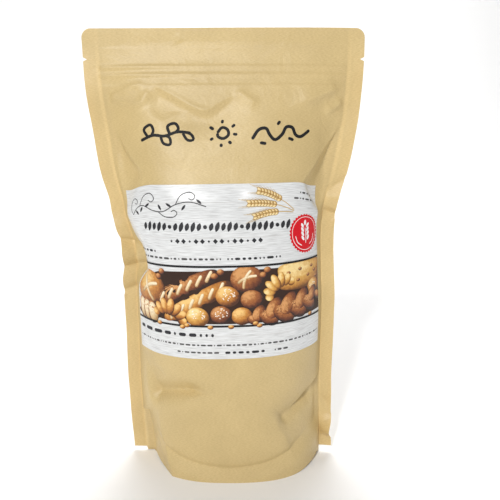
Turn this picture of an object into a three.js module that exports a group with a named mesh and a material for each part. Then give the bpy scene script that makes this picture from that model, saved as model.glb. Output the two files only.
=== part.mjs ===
// A kraft stand-up pouch filled with flour, standing on its oval base, with a paper label on its front.
//
// The pouch is described as it lies flat before it is filled: s runs across it from its centre line, and t runs
// up from its bottom edge. The filled form bends that flat sheet outwards without stretching it across, so each
// fold, seam and print line has an s and a t. Millimetres, X to the viewer's right, -Y to the front, Z up. The
// origin is on the floor under the middle of the pouch.

import * as THREE from "three";
import { mergeVertices } from "three/addons/utils/BufferGeometryUtils.js";

// The empty pouch, laid flat.
const WIDTH = 178;
const HEIGHT = 295;
const SIDE_SEAL = 9;
const CORNER_RADIUS = 6;
const SEAL_THICKNESS = 0.8;
const PANEL_HALF = WIDTH / 2 - SIDE_SEAL;
const EDGE_HALF = WIDTH / 2;

// How far the filling opens it: the slope at the side seal, and the share of it that is left at each height.
const SEAL_ANGLE = THREE.MathUtils.degToRad(74.5);
const BASE_EXTRA = 0.048;
const BASE_ZONE = 70;
const FLAT_FROM = 282;
const FILL = [
  [150, 1],
  [170, 0.965],
  [190, 0.85],
  [215, 0.61],
  [232, 0.47],
  [245, 0.33],
  [255, 0.24],
  [270, 0.09],
  [284, 0],
];

// How square its cross-sections are. At the shoulders the front stays flat and the sides fall away steeply.
const SQUARENESS = { base: 1.67, body: 1.5, top: 1, shoulder: 2.8 };
const SHOULDER_ZONE = [170, 212];

// Between these heights the sides flatten again beside the seals, by this share of their slope.
const FLANK = { flat: 0.75, steeper: 0.36, from: [178, 202], to: [256, 280] };

// The closed top: zip ridges, tear notches and the flat band between them.
const ZIP_HEIGHTS = [266.5, 271.5];
const ZIP_RIDGE = 0.6;
const ZIP_RIDGE_REACH = 1.5;
const NOTCH_HEIGHT = 276.5;
const NOTCH_DEPTH = 2.5;
const NOTCH_HALF = 1.2;

// The seam that joins the gusset to each panel: an arc that rises towards the side seals.
const ARC_LOW = 9.5;
const ARC_RISE = 10;
const ARC_SPAN = 46;
const SKIRT_FLARE = 1.4;

// The gusset's centre fold, which stands a little off the floor.
const GUSSET_LIFT = 2.6;
const GUSSET_SHARE = 0.32;

// The label: a quarter sheet of letter paper, stuck on a little askew.
const LABEL = { width: 140, low: 90, high: 200, gap: 0.3, thickness: 0.4 };
const LABEL_TURN = THREE.MathUtils.degToRad(1);
const LABEL_MIDDLE = (LABEL.low + LABEL.high) / 2;

const KRAFT = new THREE.MeshStandardMaterial({ color: 0xcfae78, roughness: 0.72, metalness: 0 });
const LABEL_PAPER = new THREE.MeshStandardMaterial({ color: 0xe6e6e2, roughness: 0.4, metalness: 0 });

const clamp = THREE.MathUtils.clamp;
const lerp = THREE.MathUtils.lerp;
const smooth = (from, to, value) => THREE.MathUtils.smoothstep(value, from, to);

// The pouch's centre line wanders sideways a little on its way up: [t, offset in x].
const CENTRE_LINE = [
  [0, 4.1],
  [60, 2.6],
  [120, 2.7],
  [180, -0.8],
  [240, 0.6],
  [HEIGHT, 0],
];

// A value read at height t from a table of [height, value].
function readTable(table, t) {
  if (t <= table[0][0]) return table[0][1];
  for (let k = 1; k < table.length; k++) {
    const [t0, v0] = table[k - 1];
    const [t1, v1] = table[k];
    if (t <= t1) return lerp(v0, v1, (t - t0) / (t1 - t0));
  }
  return table.at(-1)[1];
}

function fillAt(t) {
  const shifts = [-6, -3, 0, 3, 6];
  return shifts.reduce((sum, shift) => sum + readTable(FILL, t + shift), 0) / shifts.length;
}

// Half of a panel's cross-section at height t, walked from the centre line to the seal without stretching.
const SECTION_STEPS = 100;
const sections = new Map();

function sectionAt(t) {
  const key = Math.round(t * 1000);
  if (sections.has(key)) return sections.get(key);
  const fill = fillAt(t);
  const low = 1 - smooth(0, BASE_ZONE, t);
  const plain = lerp(SQUARENESS.top, lerp(SQUARENESS.body, SQUARENESS.base, low), fill);
  const squareness = lerp(plain, SQUARENESS.shoulder, smooth(...SHOULDER_ZONE, t));
  const sameWidth = Math.sqrt((2 * squareness + 1) / (2 * plain + 1));
  const flank = smooth(...FLANK.from, t) * (1 - smooth(...FLANK.to, t));
  const angle = SEAL_ANGLE * fill * (1 + BASE_EXTRA * low) * sameWidth * (1 + FLANK.steeper * flank);
  const x = [0];
  const y = [0];
  const step = PANEL_HALF / SECTION_STEPS;
  for (let i = 1; i <= SECTION_STEPS; i++) {
    const u = (i - 0.5) / SECTION_STEPS;
    const slope = angle * u ** squareness * (1 - FLANK.flat * flank * smooth(0.78, 1, u));
    x.push(x[i - 1] + Math.cos(slope) * step);
    y.push(y[i - 1] + Math.sin(slope) * step);
  }
  const made = { x, y };
  sections.set(key, made);
  return made;
}

function readSection(row, share) {
  const place = clamp(share, 0, 1) * SECTION_STEPS;
  const i = Math.min(Math.floor(place), SECTION_STEPS - 1);
  return lerp(row[i], row[i + 1], place - i);
}

// Where [s, t] lies beside a line of [s, t] points: how far away, on which hand of someone who walks along the
// line (1 is left), how far along it, and how strong the line is there. It dies out over `fade` at each end.
function walkLine(line, fade, s, t) {
  let nearest = Infinity;
  let side = 1;
  let along = 0;
  let walked = 0;
  for (let k = 1; k < line.length; k++) {
    const [s0, t0] = line[k - 1];
    const ds = line[k][0] - s0;
    const dt = line[k][1] - t0;
    const length = Math.hypot(ds, dt);
    const share = clamp(((s - s0) * ds + (t - t0) * dt) / length ** 2, 0, 1);
    const away = Math.hypot(s - s0 - share * ds, t - t0 - share * dt);
    if (away < nearest) {
      nearest = away;
      side = ds * (t - t0) - dt * (s - s0) > 0 ? 1 : -1;
      along = walked + share * length;
    }
    walked += length;
  }
  const share = along / walked;
  const ends = smooth(0, fade[0] + 1e-6, share) * (1 - smooth(1 - fade[1] - 1e-6, 1, share));
  return { nearest, side, share, ends };
}

// A crease. Depth is into the pouch, and the paper runs back to the plain surface within `left` and `right`
// millimetres of the line.
function creaseDepth({ line, depth, left, right, fade = [0.3, 0.3] }, s, t) {
  const { nearest, side, ends } = walkLine(line, fade, s, t);
  const reach = side > 0 ? left : right;
  return depth * (0.25 + 0.75 * ends) * ends * Math.exp(-((nearest / reach) ** 1.5));
}

// A ledge. The paper is flat up to the line and falls away on its `hand` side, steeply at first. The wall is
// `widths` millimetres wide at the line's start and end, and `recover` millimetres on, the paper is back.
function ledgeDepth({ line, depth, hand, widths, fade, recover = Infinity }, s, t) {
  const { nearest, side, share, ends } = walkLine(line, fade, s, t);
  const away = side === hand ? nearest : 0;
  return depth * ends * (1 - Math.exp(-away / lerp(...widths, share))) * Math.exp(-((away / recover) ** 2));
}

// A dimple is a soft dent at [s, t], which may reach further up than down.
function dimpleDepth({ at, across, below, above, depth }, s, t) {
  const up = t > at[1] ? above : below;
  return depth * Math.exp(-(((s - at[0]) / across) ** 2) - ((t - at[1]) / up) ** 2);
}

const FRONT_CREASES = [
  // The paper under the stiff zip band: a short pucker and the folds from the corners.
  { line: [[5, 257], [17, 250], [24, 247]], depth: -1.2, left: 4, right: 5 },
  { line: [[80, 260], [63, 254], [49, 248], [36, 243]], depth: 2.4, left: 4, right: 8 },
  { line: [[79, 256], [59, 247]], depth: -1.6, left: 5, right: 4 },
  { line: [[-74, 253], [-55, 248], [-46, 258]], depth: -1.1, left: 4, right: 4 },
  // The dents above the base, which point inwards from both sides.
  { line: [[-60, 55], [-46, 61], [-31, 66], [-18, 69], [-7, 68]], depth: 4, left: 11, right: 6, fade: [0.2, 0.2] },
  { line: [[34, 44], [42, 48], [53, 48], [69, 46], [80, 47]], depth: 4, left: 8, right: 6, fade: [0.2, 0.3] },
  // The label bridges a dent at the top of the filling.
  { line: [[5, 201], [15, 184], [26, 184], [40, 201]], depth: 1.4, left: 5, right: 5, fade: [0.2, 0.2] },
];

// The edges of the flat shoulder, the broad V under the zip and the flat corners beside the base.
const FRONT_LEDGES = [
  {
    line: [[-73.5, 238], [-71, 226], [-65, 218], [-56, 210], [-46, 199.5]],
    depth: 5.5,
    hand: -1,
    widths: [9, 8],
    fade: [0.5, 0.1],
  },
  {
    line: [[79.5, 251], [78.5, 240.5], [75, 231], [68, 220.5], [59, 210.5], [49.5, 199.5]],
    depth: 5.5,
    hand: 1,
    widths: [4, 8],
    fade: [0.3, 0.1],
  },
  {
    line: [[-46, 260.5], [-33, 254.5], [-19, 246.5], [-11, 244], [-4, 248.5], [4, 252.5], [12, 257]],
    depth: 2,
    hand: -1,
    widths: [4, 3],
    fade: [0.15, 0.35],
    recover: 15,
  },
  {
    line: [[-60, 56], [-52.5, 49], [-50.5, 43], [-50, 31.5], [-48, 20], [-43, 8], [-38, -16]],
    depth: 6.5,
    hand: -1,
    widths: [7, 11],
    fade: [0.55, 0],
  },
  {
    line: [[56, 64.5], [50.5, 57], [42.5, 50.5], [35, 44.5], [40, 38], [46, 30], [47, 18], [48, 6]],
    depth: 2.8,
    hand: 1,
    widths: [5, 8],
    fade: [0.35, 0.35],
  },
];

const FRONT_DIMPLES = [{ at: [-70, 147], across: 10, below: 9, above: 14, depth: 8.5 }];

const BACK_CREASES = [
  { line: [[-30, 262], [4, 246], [40, 260]], depth: -1.4, left: 9, right: 4 },
  { line: [[-34, 250], [4, 234], [36, 247]], depth: 2, left: 7, right: 13 },
  { line: [[-58, 128], [-30, 140], [-6, 132]], depth: 1.6, left: 5, right: 14 },
  { line: [[66, 92], [44, 84], [30, 96]], depth: 2, left: 5, right: 12 },
  { line: [[-70, 58], [-54, 46], [-50, 14]], depth: 2.6, left: 4, right: 9, fade: [0.12, 0.5] },
  { line: [[36, 48], [52, 44], [66, 26]], depth: 2.4, left: 9, right: 5, fade: [0.12, 0.5] },
];

const BACK_LEDGES = [
  { line: [[-80, 250], [-74, 234], [-66, 221], [-54, 205]], depth: 5, hand: -1, widths: [5, 8], fade: [0.3, 0.1] },
  { line: [[79, 247], [70, 228], [60, 214], [50, 203]], depth: 5, hand: 1, widths: [4, 8], fade: [0.3, 0.1] },
];

const BACK_DIMPLES = [
  { at: [68, 150], across: 10, below: 14, above: 14, depth: 4 },
  { at: [-8, 186], across: 22, below: 14, above: 14, depth: 1.4 },
];

// The seam arc: the panel tucks in along it, and the skirt below flares out to the edge it stands on.
function skirtDepth(s, t) {
  const seam = ARC_LOW + ARC_RISE * (s / ARC_SPAN) ** 2;
  const within = 1 - smooth(ARC_SPAN - 6, PANEL_HALF - 14, Math.abs(s));
  const above = Math.max(t - seam, 0);
  const below = clamp((seam - t) / ARC_LOW, 0, 1);
  return within * (1.8 * Math.exp(-above / 5) * (1 - below) - SKIRT_FLARE * below);
}

function foldDepth(side, s, t) {
  const creases = side < 0 ? FRONT_CREASES : BACK_CREASES;
  const ledges = side < 0 ? FRONT_LEDGES : BACK_LEDGES;
  const dimples = side < 0 ? FRONT_DIMPLES : BACK_DIMPLES;
  let depth = skirtDepth(s, t);
  for (const crease of creases) depth += creaseDepth(crease, s, t);
  for (const ledge of ledges) depth += ledgeDepth(ledge, s, t);
  for (const dimple of dimples) depth += dimpleDepth(dimple, s, t);
  return depth * smooth(0, 5, PANEL_HALF - Math.abs(s));
}

// The zip's two ridges show through each panel.
function zipHeight(s, t) {
  const within = smooth(0, 3, PANEL_HALF - Math.abs(s));
  return ZIP_HEIGHTS.reduce(
    (height, at) => height + within * ZIP_RIDGE * Math.exp(-(((t - at) / ZIP_RIDGE_REACH) ** 2)),
    0,
  );
}

// Both panels sway together where a side seal is bent: [side, t, reach in t, reach in s, forward shift].
const SEAL_BENDS = [
  [-1, 151, 5, 13, 2.6],
  [-1, 143, 2.5, 12, -2.2],
  [-1, 134, 6, 11, 2.2],
  [-1, 124, 2.5, 11, -1.6],
  [-1, 160, 3, 10, -1.4],
  [1, 181, 2.5, 11, -2],
  [1, 189, 5, 12, 1.8],
  [1, 17, 7, 12, 3],
];

function swayAt(s, t) {
  let forward = 0;
  for (const [side, at, reachUp, reachIn, shift] of SEAL_BENDS) {
    const inward = Math.max(EDGE_HALF - side * s, 0);
    forward += shift * Math.exp(-(((t - at) / reachUp) ** 2) - (inward / reachIn) ** 2);
  }
  const edge = smooth(PANEL_HALF - 14, EDGE_HALF, Math.abs(s));
  forward += edge * (0.7 * Math.sin(t / 17 + Math.sign(s)) + 0.4 * Math.sin(t / 7.3 + 2 * Math.sign(s)));
  const band = smooth(FLAT_FROM - 40, HEIGHT, t);
  return -forward - band * 1.2 * Math.sin(s / 38 + 0.6);
}

// The angle by which a side seal is folded to the front, and how much of its width is cut away.
function sealFold(side, t) {
  if (side > 0) return 0.75 * Math.exp(-(((t - 16) / 8) ** 2)) + 0.1;
  return 0.35 * Math.exp(-(((t - 150) / 18) ** 2)) + 0.05;
}

function edgeHalfAt(t) {
  const overCorner = Math.max(t - (HEIGHT - CORNER_RADIUS), 0);
  const corner = CORNER_RADIUS - Math.sqrt(Math.max(CORNER_RADIUS ** 2 - overCorner ** 2, 0));
  const notch = NOTCH_DEPTH * Math.max(0, 1 - Math.abs(t - NOTCH_HEIGHT) / NOTCH_HALF);
  return EDGE_HALF - corner - notch;
}

// The opened gusset pulls the bottom corners a little off the table.
function cornerLift(s, t) {
  const lift = s > 0 ? 5 : 3;
  return lift * smooth(42, 86, Math.abs(s)) * (1 - smooth(0, 60, t));
}

// The pinched left side is drawn in towards the middle.
function sidePull(s, t) {
  return 2.8 * smooth(30, PANEL_HALF, -s) * Math.exp(-(((t - 152) / 20) ** 2));
}

// The paper slides down a little where it turns round the top corners of the filling.
function flankDroop(s, t) {
  const away = Math.abs(s);
  return 4.5 * smooth(44, 70, away) * (1 - smooth(73, PANEL_HALF, away)) * Math.exp(-(((t - 196) / 15) ** 2));
}

// The filled form without its folds. Side is -1 for the front panel and 1 for the back.
function plainPoint(side, s, t) {
  const section = sectionAt(t);
  const share = Math.abs(s) / PANEL_HALF;
  const across = Math.sign(s);
  const x = across * readSection(section.x, share);
  const bulge = section.y[SECTION_STEPS] - readSection(section.y, share);
  const z = t + cornerLift(s, t) - flankDroop(s, t);
  const centre = readTable(CENTRE_LINE, t) + sidePull(s, t);
  const point = new THREE.Vector3(x + centre, side * (bulge + SEAL_THICKNESS / 2), z);
  const beyond = Math.abs(s) - PANEL_HALF;
  if (beyond > 0) {
    const width = (beyond / SIDE_SEAL) * (edgeHalfAt(t) - PANEL_HALF);
    const fold = sealFold(across, t);
    point.x += across * width * Math.cos(fold);
    point.y -= width * Math.sin(fold);
  }
  return point;
}

function plainNormal(side, s, t) {
  const step = 0.5;
  const inner = clamp(s, -PANEL_HALF + step, PANEL_HALF - step);
  const [below, above] = [Math.max(t - step, 0), Math.min(t + step, HEIGHT)];
  const across = plainPoint(side, inner + step, t).sub(plainPoint(side, inner - step, t));
  const up = plainPoint(side, inner, above).sub(plainPoint(side, inner, below));
  return across.cross(up).normalize().multiplyScalar(side < 0 ? 1 : -1);
}

// The finished surface at (s, t).
function panelPoint(side, s, t) {
  const point = plainPoint(side, s, t);
  if (Math.abs(s) < PANEL_HALF) {
    point.addScaledVector(plainNormal(side, s, t), zipHeight(s, t) - foldDepth(side, s, t));
  }
  point.y += swayAt(s, t);
  const lift = cornerLift(s, t);
  point.z = t === 0 ? lift : Math.max(point.z, 0.2 + lift);
  return point;
}

// A row of places from one value to another.
const spread = (from, to, steps) => Array.from({ length: steps + 1 }, (_, k) => lerp(from, to, k / steps));
const distinct = (values) => [...new Set(values.map((v) => Number(v.toFixed(4))))].sort((a, b) => a - b);

const COLUMNS = distinct([
  ...spread(-EDGE_HALF, -PANEL_HALF, 2),
  ...spread(-PANEL_HALF, -LABEL.width / 2, 3),
  ...spread(-LABEL.width / 2, LABEL.width / 2, 28),
  ...spread(LABEL.width / 2, PANEL_HALF, 3),
  ...spread(PANEL_HALF, EDGE_HALF, 2),
]);

const ROWS = distinct([
  ...spread(0, 20, 6),
  ...spread(20, LABEL.low, 12),
  ...spread(LABEL.low, LABEL.high, 22),
  ...spread(LABEL.high, 262, 12),
  ...spread(262, 275.3, 7),
  ...[-1, 0, 1].map((k) => NOTCH_HEIGHT + k * NOTCH_HALF),
  ...spread(281, HEIGHT - CORNER_RADIUS, 2),
  ...[0.45, 0.75, 0.93, 1].map((share) => HEIGHT - CORNER_RADIUS * (1 - share)),
]);

// The grid turns with the label under it, so that the label's edges fall on grid lines.
function turned(s, t) {
  const beside = 1 - smooth(LABEL.width / 2, PANEL_HALF, Math.abs(s));
  const below = smooth(LABEL.low - 25, LABEL.low, t);
  const above = 1 - smooth(LABEL.high, LABEL.high + 25, t);
  const turn = Math.tan(LABEL_TURN) * beside * below * above;
  return [s - turn * (t - LABEL_MIDDLE), t + turn * s];
}

function panelGrid(side) {
  return ROWS.map((t) => COLUMNS.map((s) => panelPoint(side, ...turned(s, t))));
}

// Collects triangles and turns them into a closed geometry.
class Shell {
  constructor() {
    this.places = [];
  }

  triangle(...corners) {
    for (const corner of corners) this.places.push(...corner.toArray());
  }

  // A grid of points, one row above another, seen from the side on which its triangles turn anticlockwise.
  grid(rows, flip = false) {
    for (let r = 1; r < rows.length; r++) {
      for (let c = 1; c < rows[r].length; c++) {
        const [a, b, d, e] = [rows[r - 1][c - 1], rows[r - 1][c], rows[r][c], rows[r][c - 1]];
        if (flip) {
          this.triangle(a, d, b);
          this.triangle(a, e, d);
        } else {
          this.triangle(a, b, d);
          this.triangle(a, d, e);
        }
      }
    }
  }

  geometry() {
    const raw = new THREE.BufferGeometry();
    raw.setAttribute("position", new THREE.Float32BufferAttribute(this.places, 3));
    const merged = mergeVertices(raw, 1e-3);
    merged.computeVertexNormals();
    return merged;
  }
}

// The gusset between the two bottom edges. Its middle fold stands off the floor, and the rest lies on it.
const GUSSET_SHARES = [-0.62, -GUSSET_SHARE, 0, GUSSET_SHARE, 0.62];

function gussetPoints(front, back) {
  const taper = smooth(0, 12, Math.abs(back.y - front.y) / 2 - SEAL_THICKNESS);
  return GUSSET_SHARES.map((share) => {
    const point = front.clone().lerp(back, (share + 1) / 2);
    point.z *= Math.abs(share) ** 3;
    if (share === 0) point.z = GUSSET_LIFT * taper;
    return point;
  });
}

function addGusset(shell, front, back) {
  const first = COLUMNS.indexOf(-PANEL_HALF);
  const last = COLUMNS.indexOf(PANEL_HALF);
  const middle = (GUSSET_SHARES.length - 1) / 2;
  let before = null;
  for (let c = 0; c < COLUMNS.length - 1; c++) {
    const next = c + 1;
    if (c < first || c >= last) {
      shell.triangle(front[c], back[next], front[next]);
      shell.triangle(front[c], back[c], back[next]);
      continue;
    }
    const here = before ?? [];
    const there = next < last ? gussetPoints(front[next], back[next]) : [];
    const a = [front[c], ...here, back[c]];
    const b = [front[next], ...there, back[next]];
    if (here.length && there.length) {
      for (let k = 1; k < a.length; k++) {
        shell.triangle(a[k - 1], b[k], b[k - 1]);
        shell.triangle(a[k - 1], a[k], b[k]);
      }
    } else {
      // At a seal the gusset's creases run together, so its points fan out from the two seal corners.
      const closed = here.length ? b : a;
      const open = here.length ? a : b;
      const flip = here.length > 0;
      const fan = (...corners) => (flip ? shell.triangle(...corners.reverse()) : shell.triangle(...corners));
      const turn = middle + 1;
      for (let k = 1; k < open.length; k++) {
        fan(k <= turn ? closed[0] : closed[1], open[k], open[k - 1]);
      }
      fan(closed[0], closed[1], open[turn]);
    }
    before = there.length ? there : null;
  }
}

function makePouch() {
  const front = panelGrid(-1);
  const back = panelGrid(1);
  const last = COLUMNS.length - 1;
  const top = ROWS.length - 1;
  const shell = new Shell();
  shell.grid(front);
  shell.grid(back, true);
  shell.grid([back, front].map((panel) => panel.map((row) => row[0])), true);
  shell.grid([front, back].map((panel) => panel.map((row) => row[last])), true);
  shell.grid([front[top], back[top]]);
  addGusset(shell, front[0], back[0]);
  const mesh = new THREE.Mesh(shell.geometry(), KRAFT);
  mesh.name = "pouch";
  return mesh;
}

// The label copies the stretch of the front panel that it is stuck to, a hair in front of it.
function makeLabel() {
  const columns = COLUMNS.filter((s) => Math.abs(s) <= LABEL.width / 2);
  const rows = ROWS.filter((t) => t >= LABEL.low && t <= LABEL.high);
  const place = (i, j) => panelPoint(-1, ...turned(columns[clamp(i, 0, columns.length - 1)], rows[j]));
  const layer = (offset) =>
    rows.map((_, j) =>
      columns.map((_, i) => {
        const [low, high] = [Math.max(j - 1, 0), Math.min(j + 1, rows.length - 1)];
        const across = place(i + 1, j).sub(place(i - 1, j));
        const up = place(i, high).sub(place(i, low));
        return place(i, j).addScaledVector(across.cross(up).normalize(), offset);
      }),
    );
  const inner = layer(LABEL.gap);
  const outer = layer(LABEL.gap + LABEL.thickness);
  const shell = new Shell();
  const last = columns.length - 1;
  const top = rows.length - 1;
  shell.grid(outer);
  shell.grid(inner, true);
  shell.grid([inner, outer].map((sheet) => sheet.map((row) => row[0])), true);
  shell.grid([outer, inner].map((sheet) => sheet.map((row) => row[last])), true);
  shell.grid([outer[top], inner[top]]);
  shell.grid([inner[0], outer[0]]);
  const mesh = new THREE.Mesh(shell.geometry(), LABEL_PAPER);
  mesh.name = "label";
  return mesh;
}

// The finished group is moved so that its box is centred over the origin.
const bag = new THREE.Group();
bag.add(makePouch(), makeLabel());
const box = new THREE.Box3().setFromObject(bag, true);
const middle = box.getCenter(new THREE.Vector3());
for (const mesh of bag.children) mesh.geometry.translate(-middle.x, -middle.y, 0);

export default bag;
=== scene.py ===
# %% [markdown]
# # A kraft pouch of flour, standing on its base
#
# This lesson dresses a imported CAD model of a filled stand-up pouch. The CAD gives the size and the place of the
# pouch and of its label. Blender makes the thin film with its folds, the zip, the printed sticker, the marker
# drawing and the light.
#
# The whole pouch comes from one idea. A pouch starts as a flat envelope, and every fold and print line has a
# place on it: s millimetres across from the middle, and t millimetres up from the bottom edge. A function bends
# that flat sheet into the filled form, and everything else is drawn on the sheet and carried along.

import math
import random

import bpy
import numpy as np
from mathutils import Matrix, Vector


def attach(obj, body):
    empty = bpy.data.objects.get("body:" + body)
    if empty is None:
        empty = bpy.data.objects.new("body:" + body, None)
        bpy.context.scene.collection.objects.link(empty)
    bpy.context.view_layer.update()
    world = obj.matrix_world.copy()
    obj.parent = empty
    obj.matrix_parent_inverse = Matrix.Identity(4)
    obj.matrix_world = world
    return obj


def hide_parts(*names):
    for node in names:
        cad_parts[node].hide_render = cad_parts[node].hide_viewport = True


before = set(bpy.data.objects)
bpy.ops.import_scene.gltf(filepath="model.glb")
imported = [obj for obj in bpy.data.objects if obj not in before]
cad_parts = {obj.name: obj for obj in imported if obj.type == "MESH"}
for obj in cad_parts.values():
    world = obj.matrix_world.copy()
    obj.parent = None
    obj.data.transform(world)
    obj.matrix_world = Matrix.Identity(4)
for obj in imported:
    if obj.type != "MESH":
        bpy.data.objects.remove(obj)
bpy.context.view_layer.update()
print("CAD nodes:", sorted(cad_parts))

# %% [markdown]
# ## The empty pouch
#
# On the real object this is two sheets of laminated kraft film, sealed together down both sides and across the
# top, with a third sheet folded into the bottom. Its sizes are written once here, in millimetres, because each
# later piece is placed by them.

# %% Sizes of the flat pouch
WIDTH, HEIGHT = 178.0, 295.0
EDGE_HALF, SIDE_SEAL = WIDTH / 2, 9.0
PANEL_HALF = EDGE_HALF - SIDE_SEAL
CORNER_RADIUS, FILM = 6.0, 0.4
FRONT, BACK = -1, 1

# The film's slope where it meets a seal of the full pouch, and the share that the base adds to it.
SEAL_ANGLE, BASE_EXTRA = math.radians(74.5), 0.048
# How full the pouch is at these heights.
FILL = [(150, 1), (170, 0.965), (190, 0.85), (215, 0.61), (232, 0.47), (245, 0.33), (255, 0.24), (270, 0.09),
        (284, 0)]
FLAT_FROM, BASE_ZONE = 282.0, 70.0
# The higher the value, the flatter the middle of the panel and the tighter its turn to the seal.
SQUARENESS_BASE, SQUARENESS_BODY, SQUARENESS_TOP = 1.67, 1.5, 1.0
SHOULDER_ZONE, SQUARENESS_SHOULDER = (170, 212), 2.8
# Beside the shoulders the film runs to the seal as a flat flank.
FLANK_ZONE, FLAT_FLANK, FLANK_EXTRA = (178, 202, 256, 280), 0.75, 0.36

ZIP_HEIGHTS = (266.5, 271.5)
NOTCH_HEIGHT, NOTCH_DEPTH, NOTCH_HALF = 276.5, 2.5, 1.2
# How far to the right the middle of the pouch stands, at these heights.
CENTRE_LINE = [(0, 4.1), (60, 2.6), (120, 2.7), (180, -0.8), (240, 0.6), (HEIGHT, 0)]
print(f"flat pouch {WIDTH:.0f} x {HEIGHT:.0f} mm with {SIDE_SEAL:.0f} mm seals")


def smooth(start, end, value):
    """0 before start, 1 after end, and an S-curve between them."""
    share = np.clip((np.asarray(value, float) - start) / (end - start), 0, 1)
    return share * share * (3 - 2 * share)


def hump(value, at, reach):
    """1 at a place, and fading out on both sides of it."""
    return np.exp(-(((value - at) / reach) ** 2))


def merged(*parts):
    """All the values in order, without repeats."""
    return np.unique(np.round(np.concatenate(parts), 4))


# %% [markdown]
# ## The filled form
#
# Film bends easily but hardly stretches. So a cross-section of the filled pouch has to keep the width of the flat
# sheet. A sculpted or scaled blob would break that, and a cloth simulation would keep it but would put the folds
# where it likes. Here the film's slope is given along the section, and the section is walked from the middle to
# the seal in small steps of equal length, which keeps the width exactly.

# %% Walk the cross-sections
SECTION_SHARES = np.linspace(0, 1, 161)


def fill_at(t):
    """How full the pouch is at each height, 1 to 0, from the table and smoothed over 12 mm."""
    return np.mean([np.interp(t + shift, *zip(*FILL)) for shift in (-6, -3, 0, 3, 6)], axis=0)


def cross_sections(t):
    """For each height, x and y along half a panel, from its middle to its seal."""
    fill = fill_at(t)
    low = 1 - smooth(0, BASE_ZONE, t)
    body = SQUARENESS_BASE * low + SQUARENESS_BODY * (1 - low)
    plain = body * fill + SQUARENESS_TOP * (1 - fill)
    squareness = plain + (SQUARENESS_SHOULDER - plain) * smooth(*SHOULDER_ZONE, t)
    flank = smooth(*FLANK_ZONE[:2], t) * (1 - smooth(*FLANK_ZONE[2:], t))
    angle = SEAL_ANGLE * fill * (1 + BASE_EXTRA * low)
    angle = angle * np.sqrt((2 * squareness + 1) / (2 * plain + 1)) * (1 + FLANK_EXTRA * flank)
    middle = (SECTION_SHARES[1:] + SECTION_SHARES[:-1]) / 2
    slope = angle[:, None] * middle[None] ** squareness[:, None]
    slope *= 1 - FLAT_FLANK * flank[:, None] * smooth(0.78, 1, middle)[None]
    step = PANEL_HALF * SECTION_SHARES[1]
    zero = np.zeros((len(t), 1))
    return [np.hstack([zero, np.cumsum(part * step, axis=1)]) for part in (np.cos(slope), np.sin(slope))]


def edge_half(t):
    """The half width of the flat pouch: less at the rounded top corners and at the tear notches."""
    over = np.maximum(t - (HEIGHT - CORNER_RADIUS), 0)
    corner = CORNER_RADIUS - np.sqrt(np.maximum(CORNER_RADIUS**2 - over**2, 0))
    notch = NOTCH_DEPTH * np.maximum(0, 1 - np.abs(t - NOTCH_HEIGHT) / NOTCH_HALF)
    return EDGE_HALF - corner - notch


def seal_fold(s, t):
    """How far the side seals are turned to the front, in radians."""
    return np.where(s > 0, 0.75 * hump(t, 16, 8) + 0.1, 0.35 * hump(t, 150, 18) + 0.05)


def corner_lift(s, t):
    """The opened gusset pulls the bottom corners a little off the table."""
    lift = np.where(s > 0, 5.0, 3.0)
    return lift * smooth(42, 86, np.abs(s)) * (1 - smooth(0, 60, t))


def side_pull(s, t):
    """The pinched left side is drawn in towards the middle."""
    return 2.8 * smooth(30, 80, -s) * hump(t, 152, 20)


def flank_droop(s, t):
    """The film slides down a little where it turns round the top corners of the filling."""
    away = np.abs(s)
    return 4.5 * smooth(44, 70, away) * (1 - smooth(73, 80, away)) * hump(t, 196, 15)


def plain_panel(side, s, t):
    """The filled panel without folds, as an array of points with one row for each t."""
    half_x, half_y = cross_sections(t)
    points = np.zeros((len(t), len(s), 3))
    share = np.clip(np.abs(s) / PANEL_HALF, 0, 1)
    beyond = np.maximum(np.abs(s) - PANEL_HALF, 0) / SIDE_SEAL
    for row, height in enumerate(t):
        x = np.sign(s) * np.interp(share, SECTION_SHARES, half_x[row])
        bulge = half_y[row, -1] - np.interp(share, SECTION_SHARES, half_y[row])
        width = beyond * (edge_half(height) - PANEL_HALF)
        fold = seal_fold(s, height)
        points[row, :, 0] = x + np.sign(s) * width * np.cos(fold) + side_pull(s, height)
        points[row, :, 1] = side * (bulge + FILM / 2) - width * np.sin(fold)
        points[row, :, 2] = height + corner_lift(s, height) - flank_droop(s, height)
    points[:, :, 0] += np.interp(t, *zip(*CENTRE_LINE))[:, None]
    return points


def sheet_normals(points, side):
    """Unit normals of a sheet of points, facing out of the pouch."""
    up, across = np.gradient(points, axis=(0, 1))
    normals = np.cross(across, up) * (1 if side == FRONT else -1)
    return normals / np.maximum(np.linalg.norm(normals, axis=2, keepdims=True), 1e-9)


# %% [markdown]
# ## Folds
#
# Where the filled body meets the flat top, and where a side is pinched, the film buckles into sharp creases with
# soft flanks. Each crease is a line on the flat sheet with a depth and two reaches, one for each flank, so that
# one side can be steep and the other long. The sharp bottom of the valley is what makes it read as film and not
# as cloth. Sculpting by hand would look as good, but a list of lines can be moved against a photograph.

# %% Crease, ledge and dimple helpers


def rounded_line(points, step=2.0):
    """A smooth line through the given points, in steps of about `step` millimetres."""
    points = np.asarray(points, float)
    if len(points) == 2:
        count = max(2, int(np.hypot(*(points[1] - points[0])) / step) + 1)
        return points[0] + np.linspace(0, 1, count)[:, None] * (points[1] - points[0])
    ends = np.vstack([2 * points[0] - points[1], points, 2 * points[-1] - points[-2]])
    made = []
    for a, b, c, d in zip(ends, ends[1:], ends[2:], ends[3:]):
        count = max(2, int(np.hypot(*(c - b)) / step) + 1)
        k = np.linspace(0, 1, count, endpoint=False)[:, None]
        square, cube = 2 * a - 5 * b + 4 * c - d, 3 * b - a - 3 * c + d
        made.append(0.5 * (2 * b + (c - a) * k + square * k**2 + cube * k**3))
    return np.vstack([*made, points[-1:]])


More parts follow.
